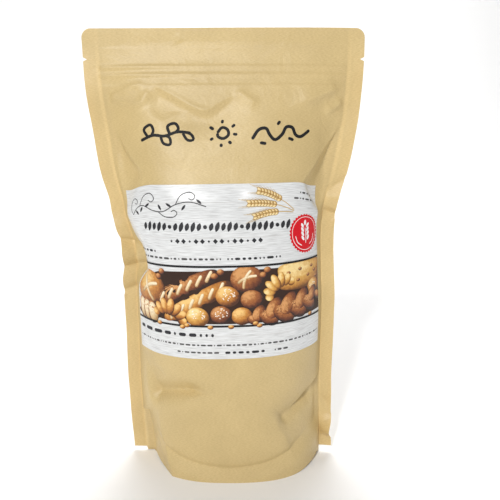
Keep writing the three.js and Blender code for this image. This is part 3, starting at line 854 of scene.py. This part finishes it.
def disc(skin, place, centre, outline, lift, slot=0, size=(1, 1), turn=0.0, rings=3, limits=None):
    """A filled shape. Outline is a list of points around it, anticlockwise, in units of `size`."""
    shares = np.linspace(0, 1, rings + 1)[1:, None, None]
    spin = np.array([[math.cos(turn), math.sin(turn)], [-math.sin(turn), math.cos(turn)]])
    flat = (shares * (outline * size)[None]) @ spin + centre
    middle = np.array(centre, float)
    if limits:
        flat, middle = np.clip(flat, *limits), np.clip(middle, *limits)
    local = shares * circle(np.arctan2(outline[:, 1], outline[:, 0]))[None]
    index = skin.add_points(place(flat[..., 0], flat[..., 1], lift))
    hub = skin.add_points(place(middle[None, 0], middle[None, 1], lift))[0]
    for k in range(len(outline)):
        n = (k + 1) % len(outline)
        skin.face([hub, index[0, k], index[0, n]], [middle, flat[0, k], flat[0, n]], slot,
                  [(0, 0), local[0, k], local[0, n]])
        for r in range(rings - 1):
            ring = [(r, k), (r + 1, k), (r + 1, n), (r, n)]
            skin.face([index[p] for p in ring], [flat[p] for p in ring], slot, [local[p] for p in ring])


ROUND = circle(once_around(28))
# A pointed oval along y, like a kernel or a leaf.
GRAIN = circle(once_around(20))
GRAIN[:, 0] *= np.abs(GRAIN[:, 0]) ** 0.75
DIAMOND = np.array([(1, 0), (0.5, 0.5), (0, 1), (-0.5, 0.5), (-1, 0), (-0.5, -0.5), (0, -1), (0.5, -0.5)])
print("outlines:", len(ROUND), "points round,", len(GRAIN), "for a grain")

# %% Inks


def plain_ink(name, colour, roughness=0.5):
    """Flat printing ink, a little uneven as it sinks into the paper."""
    material, tree, shader = new_material(name, Roughness=roughness, Specular_IOR_Level=0.3)
    fibres = paper_fibres(tree, uv_place(tree), 160.0, 0.1)
    lighter = tuple(min(1.0, c * 1.2 + 0.006) for c in colour)
    tree.links.new(colour_ramp(tree, fibres["Fibre"], [(0.35, colour), (0.7, lighter)]), shader["Base Color"])
    return material


INKS = {
    "charcoal": plain_ink("ink_charcoal", (0.022, 0.022, 0.026)),
    "black": plain_ink("ink_black", (0.008, 0.008, 0.009)),
    "grey": plain_ink("ink_grey", (0.07, 0.068, 0.068)),
    "red": plain_ink("ink_red", (0.62, 0.0, 0.008)),
    "white": plain_ink("ink_white", (0.88, 0.87, 0.86)),
}
INK = {name: number for number, name in enumerate(INKS)}
print("inks:", list(INKS))

# %% [markdown]
# ## The print on the label
#
# The printer laid down two black rules with a picture between them. Above them are an ornament of a stem with curls
# and leaves, a row of dark leaves, a row of diamonds and a red seal with a toothed edge. Rows of short dashes stand
# above, below and in the corner. All of it could be one printed image, but strokes and discs of flat ink stay crisp
# and can be moved. The dashes get uneven lengths from a seeded random generator, so they are the same each time.

# %% Rules, leaves, dashes and seal
ORNAMENT_STEM = [(-60.5, 182), (-56.5, 186.4), (-51, 188), (-43, 184.7), (-35, 184.2), (-27, 188.4), (-18, 189.8),
                 (-8, 187)]
ORNAMENT_CURLS = [
    [(-60.5, 182), (-62.5, 186.5), (-61, 191.8), (-58, 193.6), (-55.3, 191.6), (-56.2, 189.6), (-58, 190.4)],
    [(-53.5, 187.6), (-50, 193.4), (-44.5, 195), (-41.5, 192), (-43.5, 189.7), (-46, 190.9)],
    [(-39, 184.2), (-34, 181), (-28.5, 180.8), (-26, 183), (-27.8, 185), (-30, 184)],
    [(-27, 188.4), (-24, 193.6), (-18.5, 195.6), (-15, 193.4), (-16.6, 191), (-19, 192)],
]
ORNAMENT_LEAVES = [(-56, 183.6, 40), (-47, 187.8, -60), (-37.5, 186.6, 30), (-22, 186.6, -35), (-12.5, 190, 50),
                   (-52, 185.4, 150), (-31.5, 188, 60)]
RULE_HEIGHTS, RULE_WIDTH, RULE_HALF = (150.6, 112.0), 1.3, 69.9
LEAF_ROW, LEAF_ROW_HEIGHT = np.linspace(-50, 43, 26), 174.9
DIAMOND_ROW, DIAMOND_ROW_HEIGHT = np.linspace(-31, 24, 15), 166.3
DASH_ROWS = [
    # Place across from, to, height on the label, height of a dash, ink.
    (-62, -44, 159.3, 1.5, "charcoal"), (-66, 0, 155.3, 1.3, "grey"), (2, 37, 155.3, 1.5, "charcoal"),
    (50, 64, 194.2, 1.1, "grey"), (46, 67, 190.6, 1.1, "grey"),
    (-68, -9, 106.0, 2.3, "charcoal"), (-68, 68, 99.3, 1.1, "grey"), (-34, -5, 94.3, 1.1, "grey"),
    (-3, 24, 94.3, 1.6, "charcoal"), (29, 39, 94.3, 1.3, "grey"),
]
DASH_LENGTHS, DASH_GAP, FIRST_DASH_SEED = (1.2, 1.9, 2.6, 3.4), 0.4, 40
SEAL_AT, SEAL_RADIUS, SEAL_TEETH, TOOTH = (56.3, 167.8), 13.0, 34, 0.45


def print_line(skin, line, width, ink, layer=0):
    ribbon(skin, on_label, line, width, LABEL_FACE + LAYER * layer, INK[ink])


def print_shape(skin, at, outline, size, ink="charcoal", layer=0, turn=0.0, rings=3):
    disc(skin, on_label, at, outline, LABEL_FACE + LAYER * layer, INK[ink], size=size, turn=turn, rings=rings)


def draw_dash_row(skin, start, end, height, size, ink, seed):
    rng = random.Random(seed)
    at = start
    while at < end - size:
        length = min(rng.choice(DASH_LENGTHS) * size, end - at)
        print_line(skin, [(at + size / 2, height), (at + length, height)], size, ink)
        at += length + size * DASH_GAP


def draw_seal(skin):
    """A red disc with a white ring, an ear of grain and two curved stalks on it."""
    x, y = SEAL_AT
    around = once_around(SEAL_TEETH * 4)
    radius = SEAL_RADIUS - TOOTH + TOOTH * np.cos(around * SEAL_TEETH)
    print_shape(skin, SEAL_AT, circle(around) * radius[:, None], (1, 1), "red", rings=8)
    print_line(skin, SEAL_AT + 10.8 * circle(np.linspace(0, 2 * math.pi, 40)), 0.35, "white", 1)
    print_line(skin, [(x, y - 6.6), (x + 0.4, y), (x, y + 3.4)], 0.55, "white", 1)
    for step in range(4):
        for side in (-1, 1):
            print_shape(skin, (x + side * 2.3, y - 3 + step * 2.7), GRAIN, (1.0, 1.9), "white", 1, -side * 0.6)
    print_shape(skin, (x, y + 6.9), GRAIN, (1.0, 2.0), "white", 1)
    for side in (-1, 1):
        stalk = [(x + side * 3.7, y - 7.6), (x + side * 7, y - 5.2), (x + side * 8.4, y - 1.2)]
        print_line(skin, stalk, 0.5, "white", 1)


def draw_label_print():
    skin = Skin()
    for height in RULE_HEIGHTS:
        print_line(skin, [(-RULE_HALF, height), (RULE_HALF, height)], RULE_WIDTH, "black", 4)
    print_line(skin, ORNAMENT_STEM, 0.55, "charcoal")
    for curl in ORNAMENT_CURLS:
        print_line(skin, curl, 0.5, "charcoal")
    for a, b, degrees in ORNAMENT_LEAVES:
        print_shape(skin, (a, b), GRAIN, (0.75, 2.1), turn=math.radians(degrees))
    for step, a in enumerate(LEAF_ROW):
        if step % 6 == 5:
            print_shape(skin, (a, LEAF_ROW_HEIGHT), ROUND, (1.2, 1.2))
        else:
            print_shape(skin, (a, LEAF_ROW_HEIGHT), GRAIN, (1.35, 3.2 if step % 2 else 2.5), turn=-0.35)
    for step, a in enumerate(DIAMOND_ROW):
        print_shape(skin, (a, DIAMOND_ROW_HEIGHT), DIAMOND, (1.5, 1.6) if step % 3 else (0.8, 0.85), rings=2)
    for number, row in enumerate(DASH_ROWS):
        draw_dash_row(skin, *row, seed=FIRST_DASH_SEED + number)
    draw_seal(skin)
    return skin.build("label_print", list(INKS.values()))


label_print = draw_label_print()
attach(label_print, "root")

# %% [markdown]
# ## The picture of baked goods
#
# Between the rules is a still life of bread. A printed picture is flat, so its light and shade are ink too. Each
# loaf is a disc, and one shader group treats every disc as a dome: it turns the place on the disc into a dome's
# slope, lights that from the upper left, and adds a baked crust's blotches. Croissants and braids are rows of such
# domes that overlap. Each kind of dough then only needs its own row of colours.

# %% A group for painted crust
PAINTED_LIGHT = (-0.33, 0.48, 0.72)


def make_crust_group():
    group, given, out = new_group("Painted Crust", ["Local", "Flat"], {"Blotch Scale": 40.0, "Blotch Amount": 0.5},
                                  ["Tone"])
    x, y = add_node(group, "SeparateXYZ", Vector=given["Local"]).outputs[:2]
    length = add_node(group, "VectorMath", {"operation": "LENGTH"}, i0=given["Local"]).outputs["Value"]
    dome = calc(group, "SQRT", calc(group, "SUBTRACT", 1.0, calc(group, "POWER", length, 2.4), clamp=True))
    slope = add_node(group, "CombineXYZ", X=x, Y=y, Z=dome).outputs[0]
    lit = add_node(group, "VectorMath", {"operation": "DOT_PRODUCT"}, i0=slope, i1=PAINTED_LIGHT).outputs["Value"]
    blotches = noise(group, given["Flat"], given["Blotch Scale"], 4.0, Roughness=0.65)
    blotches = calc(group, "MULTIPLY", calc(group, "SUBTRACT", blotches, 0.5), given["Blotch Amount"])
    group.links.new(calc(group, "ADD", lit, blotches, clamp=True), out["Tone"])
    return group


PAINTED_CRUST = make_crust_group()


def crust_ink(name, places, colours, blotch_scale, blotch_amount):
    """Colours from shade to light at their places, with blotches."""
    material, tree, shader = new_material(name, Roughness=0.33, Specular_IOR_Level=0.45)
    crust = add_node(tree, "Group", {"node_tree": PAINTED_CRUST}, Local=uv_place(tree, "local"),
                     Flat=uv_place(tree), Blotch_Scale=blotch_scale, Blotch_Amount=blotch_amount)
    ramp = colour_ramp(tree, crust.outputs["Tone"], list(zip(places, colours)))
    tree.links.new(ramp, shader["Base Color"])
    return material


CRUST_STOPS = (0.0, 0.35, 0.68, 0.92)
DOUGHS = {
    "shade": plain_ink("ink_shade", (0.03, 0.011, 0.005)),
    "deep": crust_ink("crust_deep", CRUST_STOPS, [
        (0.02, 0.005, 0.002), (0.15, 0.036, 0.009), (0.36, 0.115, 0.024), (0.66, 0.32, 0.11)], 55, 0.8),
    "amber": crust_ink("crust_amber", CRUST_STOPS, [
        (0.07, 0.018, 0.003), (0.34, 0.11, 0.014), (0.6, 0.255, 0.04), (0.86, 0.56, 0.2)], 45, 0.75),
    "gold": crust_ink("crust_gold", CRUST_STOPS, [
        (0.15, 0.05, 0.007), (0.48, 0.2, 0.03), (0.72, 0.4, 0.085), (0.92, 0.7, 0.32)], 45, 0.65),
    "crumb": crust_ink("crumb", (0.0, 0.45, 0.9), [
        (0.36, 0.2, 0.075), (0.68, 0.48, 0.235), (0.92, 0.8, 0.57)], 130, 0.9),
    "flour": plain_ink("ink_flour", (0.86, 0.8, 0.7)),
}
DOUGH = {name: number for number, name in enumerate(DOUGHS)}
print("doughs:", list(DOUGHS))

# %% Draw the loaves
PICTURE_LIMITS = ((-69.6, 107.5), (69.6, 150.2))
PICTURE_FACE = LABEL_FACE + 0.01
ON_TOP = 0.4


def closed(points, step):
    """A smooth outline through the points."""
    return rounded_line([*points, points[0]], step)[:-1]


def put(skin, at, size, dough, layer, turn=0.0, outline=ROUND, rings=4):
    disc(skin, on_label, at, outline, PICTURE_FACE + LAYER * layer, DOUGH[dough], size=size, turn=turn, rings=rings,
         limits=PICTURE_LIMITS)


def slash(skin, cut, width, layer):
    """A baker's cut, which shows the pale crumb."""
    ribbon(skin, on_label, cut, width, PICTURE_FACE + LAYER * (layer + ON_TOP), DOUGH["crumb"], across=3)


def along(at, turn, x, y):
    """A place given from a loaf's middle, along and across its length."""
    return (at[0] + x * math.cos(turn) - y * math.sin(turn), at[1] + x * math.sin(turn) + y * math.cos(turn))


def baguette(skin, at, length, width, turn, dough, layer):
    bar = circle(once_around(44))
    bar = np.sign(bar) * np.abs(bar) ** (0.55, 0.9)
    put(skin, at, (length / 2, width / 2), dough, layer, turn, bar, rings=5)
    for x in np.linspace(-0.36, 0.36, max(3, int(length / 8))) * length:
        cut = [along(at, turn, x + width * i, width * j) for i, j in ((-0.33, -0.24), (0, 0.02), (0.33, 0.24))]
        slash(skin, cut, width * 0.2, layer)


def boule(skin, at, radius, dough, layer, cuts):
    put(skin, at, (radius, radius * 0.86), dough, layer, rings=6)
    for degrees in cuts:
        turn = math.radians(degrees)
        cut = [along(at, turn, x * radius, 0.13 * radius * (1 - (x / 0.62) ** 2))
               for x in (-0.62, -0.3, 0, 0.3, 0.62)]
        slash(skin, cut, radius * 0.17, layer)


def croissant(skin, at, radius, turn, dough, layer):
    for step, angle in enumerate(np.radians([-68, 68, -46, 46, -23, 23, 0])):
        share = math.cos(angle * 0.85)
        place = along(at, turn, radius * math.sin(angle), radius * (math.cos(angle) - 0.6))
        put(skin, place, (radius * 0.27, radius * 0.56 * share), dough, layer + step * 0.14, turn - angle * 1.15)


def braid(skin, at, length, width, turn, dough, layer):
    for step, x in enumerate(np.linspace(-0.5, 0.5, 11)):
        share = math.sqrt(max(1 - (x / 0.56) ** 2, 0.1))
        side = 1 if step % 2 else -1
        place = along(at, turn, x * length, side * width * 0.16 * share)
        size = (width * 0.44 * share, width * 0.24 * share + 0.8)
        put(skin, place, size, dough, layer + step * 0.1, turn + side * 0.75)


def roll(skin, at, radius, dough, layer, seeds=0, seed=1):
    """A round roll with a number of seeds on it, strewn by a random seed."""
    put(skin, at, (radius, radius * 0.88), dough, layer, rings=5)
    rng = random.Random(seed)
    for _ in range(seeds):
        turn, away = rng.uniform(0, 2 * math.pi), radius * 0.62 * math.sqrt(rng.random())
        place = (at[0] + away * math.cos(turn), at[1] + 0.15 * radius + away * math.sin(turn) * 0.8)
        put(skin, place, (0.3, 0.55), "flour", layer + ON_TOP, rng.uniform(0, 3), GRAIN, rings=1)


def scatter(skin, places, size, dough, layer, rings=3):
    """Nuts and crumbs of one size."""
    for place in places:
        put(skin, place, size, dough, layer, rings=rings)


def draw_picture():
    skin = Skin()
    table = [(1, -0.95), (1, 0.9), (0.4, 1), (-0.5, 0.95), (-0.86, 0.8), (-1, 0.1), (-0.95, -0.8), (-0.4, -1),
             (0.5, -1)]
    put(skin, (6, 131), (63.6, 17.2), "shade", 0, outline=closed(table, 0.06), rings=48)
    put(skin, (-57, 116.5), (12.5, 3), "shade", 0)
    baguette(skin, (-26, 137), 50, 10.5, 0.42, "deep", 1)
    baguette(skin, (-19, 128), 52, 10, 0.5, "amber", 1.8)
    boule(skin, (-54, 134), 14.5, "amber", 1, (25, 115))
    boule(skin, (14, 142), 10.5, "deep", 1, (20, 65))
    flatbread = [(1, 0), (0.92, 0.85), (0, 1), (-0.92, 0.85), (-1, 0), (-0.92, -0.85), (0, -1), (0.92, -0.85)]
    put(skin, (53, 141.5), (19, 9), "gold", 1, outline=closed(flatbread, 0.1), rings=6)
    scatter(skin, [(41, 144), (48, 138.5), (50, 145.5), (57, 140.5), (61, 146), (66, 138), (43, 138), (64, 142.5)],
            (1.5, 1.1), "deep", 1.5, rings=2)
    croissant(skin, (34, 136), 9.5, 0.5, "gold", 2)
    roll(skin, (1, 131.5), 7.6, "amber", 2.6, seeds=22, seed=5)
    roll(skin, (16, 129), 7.2, "deep", 2.9)
    croissant(skin, (-38, 119.5), 10.5, -0.25, "amber", 3)
    for step, x in enumerate((-63, -57.5, -52)):
        put(skin, (x, 119.6 - step * 0.7), (5, 7.6), "deep", 2 + step * 0.25, turn=0.2)
        put(skin, (x + 0.3, 119.4 - step * 0.7), (4.2, 6.6), "crumb", 2.1 + step * 0.25, turn=0.2)
    roll(skin, (-19, 118), 7.4, "gold", 3.2, seeds=20, seed=2)
    roll(skin, (-4, 119.5), 6.8, "deep", 3.5, seeds=18, seed=3)
    roll(skin, (9, 118.5), 6.6, "amber", 3.2)
    braid(skin, (41, 121.5), 52, 19, 0.17, "deep", 3.4)
    roll(skin, (62.5, 131.5), 6.5, "amber", 3, seeds=12, seed=9)
    scatter(skin, [(-46, 112), (-29, 111.2), (-26, 112.4), (2, 111.6), (17.5, 113.4), (20, 111.8), (58, 113.5),
                   (-11, 111.4)], (1.9, 1.4), "amber", 4.2)
    scatter(skin, [(-2, 147), (-6, 144.5), (27, 147.5), (-41, 146.5), (-44, 143), (24, 144.5)],
            (2.4, 2.1), "deep", 1.4)
    return skin.build("label_picture", list(DOUGHS.values()))


picture = draw_picture()
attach(picture, "root")

# %% [markdown]
# ## Ears of wheat
#
# A small sprig of three ears is printed in the label's upper right. Each ear is a stem with pairs of pointed grains
# and long thin bristles, drawn with the same strokes and discs.

# %% Draw the ears
EARS = [
    [(47, 183.5), (40, 189), (32, 193.5), (22.5, 196)],
    [(47, 182.8), (38, 186.4), (28, 188.4), (17, 188.6)],
    [(46.5, 182), (38, 182.8), (30, 182.4), (21, 180.4)],
]
STRAWS = [
    plain_ink("ink_stalk", (0.5, 0.34, 0.13)),
    crust_ink("ink_grain", (0.0, 0.4, 0.8), [(0.42, 0.24, 0.07), (0.7, 0.49, 0.2), (0.88, 0.72, 0.4)], 60, 0.3),
    plain_ink("ink_chaff", (0.3, 0.17, 0.05)),
]
STALK, KERNEL, CHAFF = range(3)
BRISTLE_LENGTH = 7


def draw_ears():
    skin = Skin()
    for number, line in enumerate(EARS):
        lift = LABEL_FACE + LAYER * number
        ribbon(skin, on_label, line, 0.5, lift, STALK)
        path = rounded_line(line, 0.4)
        for k in range(int(len(path) * 0.45), len(path) - 1, 5):
            ahead = path[k + 1] - path[k]
            turn = math.atan2(ahead[1], ahead[0])
            for side in (-1, 1):
                place = along(path[k], turn, 0, side * 0.9)
                tip = along(place, turn + side * 0.26, BRISTLE_LENGTH, 0)
                ribbon(skin, on_label, [place, tip], 0.18, lift, STALK)
                for straw, size in ((CHAFF, (1.15, 1.95)), (KERNEL, (0.9, 1.6))):
                    lift += 0.002
                    disc(skin, on_label, place, GRAIN, lift, straw, size=size,
                         turn=turn - math.pi / 2 + side * 0.42, rings=2)
    return skin.build("label_ears", STRAWS)


ears = draw_ears()
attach(ears, "root")

# %% [markdown]
# ## The marker drawing
#
# Someone drew on the film above the label with a felt marker. It is a doodle of a sprig, a sun and a wave. The
# strokes are one even width with round ends, as a marker leaves them, and slightly shaky.

# %% Draw with the marker
MARKER_STROKES = [
    # A sprig: its stem and four leaves.
    [(-52, 226), (-44, 229.5), (-36, 229), (-28, 231.5), (-20, 231)],
    [(-47, 228.2), (-50, 233), (-46, 236), (-43.8, 232.5), (-45, 229)],
    [(-39, 229), (-36.5, 224.2), (-32.5, 224), (-33.2, 227.6), (-36, 229.4)],
    [(-33, 230), (-34.5, 235), (-30, 237.2), (-28, 233.8), (-29.6, 231)],
    [(-25, 231.2), (-22, 226.4), (-18.4, 226.8), (-19.4, 230), (-22.4, 231.2)],
    # A sun with seven rays.
    [(-3.5, 231), (-0.8, 234.3), (2.6, 233.4), (3.3, 229.8), (0.4, 227.6), (-2.9, 228.7), (-3.5, 231.2)],
    [(-0.6, 237), (-0.2, 239.6)], [(5.2, 234.6), (7.4, 236.3)], [(6.2, 230), (9, 229.6)],
    [(-6, 233.4), (-8.4, 235)], [(-5.6, 228), (-8, 226.6)], [(3.8, 226), (5.4, 224)], [(-0.6, 224.6), (-1, 222)],
    # A wave with three dashes beside it.
    [(18, 227), (22, 232.6), (26.5, 233.6), (28.6, 229.6), (32.5, 226.8), (36.6, 230.2), (39, 234.4), (43, 234),
     (45.4, 230), (49, 228.6), (54.5, 232.8)],
    [(23, 225), (27, 224)], [(40.5, 227.6), (44, 226.4)], [(33.5, 235.5), (35.2, 238)],
]
MARKER_WIDTH, MARKER_LIFT = 1.85, 0.07
PLACE_SHAKE, WIDTH_SHAKE, SHAKE_SEED = 0.25, 0.15, 12


def draw_marker():
    skin = Skin()
    rng = random.Random(SHAKE_SEED)
    for stroke in MARKER_STROKES:
        shaky = [[v + rng.uniform(-PLACE_SHAKE, PLACE_SHAKE) for v in place] for place in stroke]
        width = MARKER_WIDTH + rng.uniform(-WIDTH_SHAKE, WIDTH_SHAKE)
        ribbon(skin, on_front, shaky, width, MARKER_LIFT, across=3)
    return skin.build("marker_drawing", [plain_ink("ink_marker", (0.004, 0.004, 0.005), roughness=0.6)])


marker = draw_marker()
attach(marker, "root")

# %% [markdown]
# ## Stage, light and camera
#
# The floor is a pale sweep that curves up behind the pouch, so no horizon shows. The light is a small key from the
# left, in front and above, which draws the folds, a weak fill from the right, a light over the floor behind, and a
# pale sky. The camera looks down by 12 degrees from about an arm's length, which is close, so the pouch's top looks
# wider than its base.

# %% A pale sweep
SWEEP_FRONT, SWEEP_BACK, SWEEP_RADIUS, SWEEP_HEIGHT, SWEEP_HALF = -2.5, 1.6, 0.8, 3.0, 4.0


def make_sweep():
    floor_end = SWEEP_BACK - SWEEP_RADIUS
    profile = [(SWEEP_FRONT, 0.0), (floor_end, 0.0)]
    for turn in np.linspace(0, math.pi / 2, 25)[1:]:
        profile.append((floor_end + SWEEP_RADIUS * math.sin(turn), SWEEP_RADIUS * (1 - math.cos(turn))))
    profile.append((SWEEP_BACK, SWEEP_HEIGHT))
    count = len(profile)
    mesh = bpy.data.meshes.new("pale_sweep")
    mesh.from_pydata([(x, y, z) for x in (-SWEEP_HALF, SWEEP_HALF) for y, z in profile], [],
                     [(count + k, count + k + 1, k + 1, k) for k in range(count - 1)])
    mesh.polygons.foreach_set("use_smooth", [True] * (count - 1))
    mesh.materials.append(new_material("sweep_paint", Base_Color=(0.94, 0.94, 0.94, 1), Roughness=0.8)[0])
    return link_object("pale_sweep", mesh)


make_sweep()

# %% Soft lights


def soft_light(name, place, aim, size, watts, colour=(1, 1, 1)):
    data = bpy.data.lights.new(name, "AREA")
    data.shape, data.size, data.energy, data.color = "DISK", size, watts, colour
    lamp = link_object(name, data)
    lamp.location = place
    lamp.rotation_euler = (Vector(aim) - Vector(place)).to_track_quat("-Z", "Y").to_euler()


soft_light("key", (-0.8, -2.3, 1.85), (0, 0, 0.12), 0.34, 54.5, (1.0, 0.99, 0.975))
soft_light("fill", (0.8, -1.0, 0.45), (0, 0, 0.15), 1.0, 1.3, (0.97, 0.98, 1.0))
soft_light("floor", (0, 0.9, 1.8), (0, 0.7, 0), 1.4, 24)
world = bpy.data.worlds.new("pale_room")
world.use_nodes = True
sky = world.node_tree.nodes["Background"].inputs
sky["Color"].default_value = (1, 1, 1, 1)
sky["Strength"].default_value = 0.24
bpy.context.scene.world = world
bpy.context.scene.view_settings.view_transform = "Standard"

# %% The camera
TILT = math.radians(12)
CAMERA_AWAY, CAMERA_AIM_HEIGHT, CAMERA_SIDE = 331.4, 153.2, 17.1


def add_camera():
    data = bpy.data.cameras.new("camera")
    data.sensor_width, data.lens, data.clip_start = 36.0, 34.81, 0.01
    camera = link_object("camera", data)
    camera.location = (
        (CAMERA_SIDE - MIDDLE[0]) * MM,
        (-CAMERA_AWAY * math.cos(TILT) - MIDDLE[1]) * MM,
        (CAMERA_AIM_HEIGHT + CAMERA_AWAY * math.sin(TILT)) * MM,
    )
    camera.rotation_euler = (math.pi / 2 - TILT, 0, 0)
    bpy.context.scene.camera = camera
    return camera


camera = add_camera()
print("camera at", [round(v, 3) for v in camera.location])
